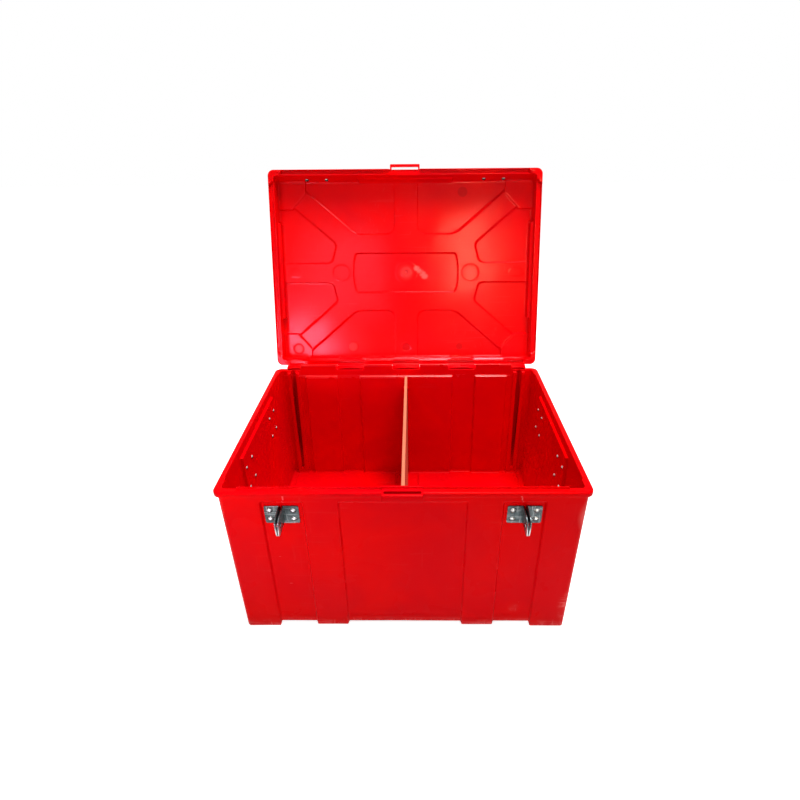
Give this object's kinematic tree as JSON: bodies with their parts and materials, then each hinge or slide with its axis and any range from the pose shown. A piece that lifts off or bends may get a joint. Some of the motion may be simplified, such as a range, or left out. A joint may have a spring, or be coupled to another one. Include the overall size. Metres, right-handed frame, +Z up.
{
  "type": "specimen transport box",
  "caption": "Lidded transport box with a drafted tub, hinged lid, hasps with padlock staples, drop handles and a lift-out divider.",
  "frame": {"origin": "middle of the underside of the tub, on the plane that it stands on", "axes": "+Z up, the front with the two staples faces -Y, the hinge runs along X at the back"},
  "size_m": [0.61, 0.7173, 0.7527],
  "materials": {
    "red_plastic": "glossy moulded plastic, lightly scuffed",
    "plated_steel": "zinc-plated pressed steel",
    "rivet_metal": "set rivet heads",
    "grip_rubber": "matt moulded sleeve",
    "board": "sanded plywood board"
  },
  "bodies": {
    "base": {"base_shell": "red_plastic", "hinge_pin": "plated_steel", "hasp_staple_left": "plated_steel", "hasp_staple_right": "plated_steel", "staple_rivets_left": "rivet_metal", "staple_rivets_right": "rivet_metal", "handle_bracket_left_front": "plated_steel", "handle_bracket_left_rear": "plated_steel", "handle_bracket_right_front": "plated_steel", "handle_bracket_right_rear": "plated_steel", "handle_rivets_left": "rivet_metal", "handle_rivets_right": "rivet_metal"},
    "lid": {"lid_shell": "red_plastic", "hasp_plate_left": "plated_steel", "hasp_plate_right": "plated_steel", "hasp_rivets_left": "rivet_metal", "hasp_rivets_right": "rivet_metal", "hasp_pin_left": "plated_steel", "hasp_pin_right": "plated_steel"},
    "strap_left": {"hasp_strap_left": "plated_steel"},
    "strap_right": {"hasp_strap_right": "plated_steel"},
    "handle_left": {"handle_bail_left": "plated_steel", "handle_grip_left": "grip_rubber"},
    "handle_right": {"handle_bail_right": "plated_steel", "handle_grip_right": "grip_rubber"},
    "divider": {"divider": "board"}
  },
  "joints": [
    {"name": "lid_hinge", "type": "hinge", "parent": "base", "child": "lid", "pos_m": [0, 0.2246, 0.318], "axis": [-1, 0, 0], "range_deg": [-104.9, 0]},
    {"name": "hasp_left", "type": "hinge", "parent": "lid", "child": "strap_left", "pos_m": [-0.198, 0.36704, 0.73665], "axis": [-1, 0, 0], "range_deg": [-180, 0]},
    {"name": "hasp_right", "type": "hinge", "parent": "lid", "child": "strap_right", "pos_m": [0.198, 0.36704, 0.73665], "axis": [-1, 0, 0], "range_deg": [-180, 0]},
    {"name": "handle_left", "type": "hinge", "parent": "base", "child": "handle_left", "pos_m": [-0.29654, 0, 0.259], "axis": [0, 1, 0], "range_deg": [0, 90]},
    {"name": "handle_right", "type": "hinge", "parent": "base", "child": "handle_right", "pos_m": [0.29654, 0, 0.259], "axis": [0, -1, 0], "range_deg": [0, 90]},
    {"name": "divider_slide", "type": "slide", "parent": "base", "child": "divider", "axis": [0, 0, 1], "range_m": [0, 0.3]}
  ]
}
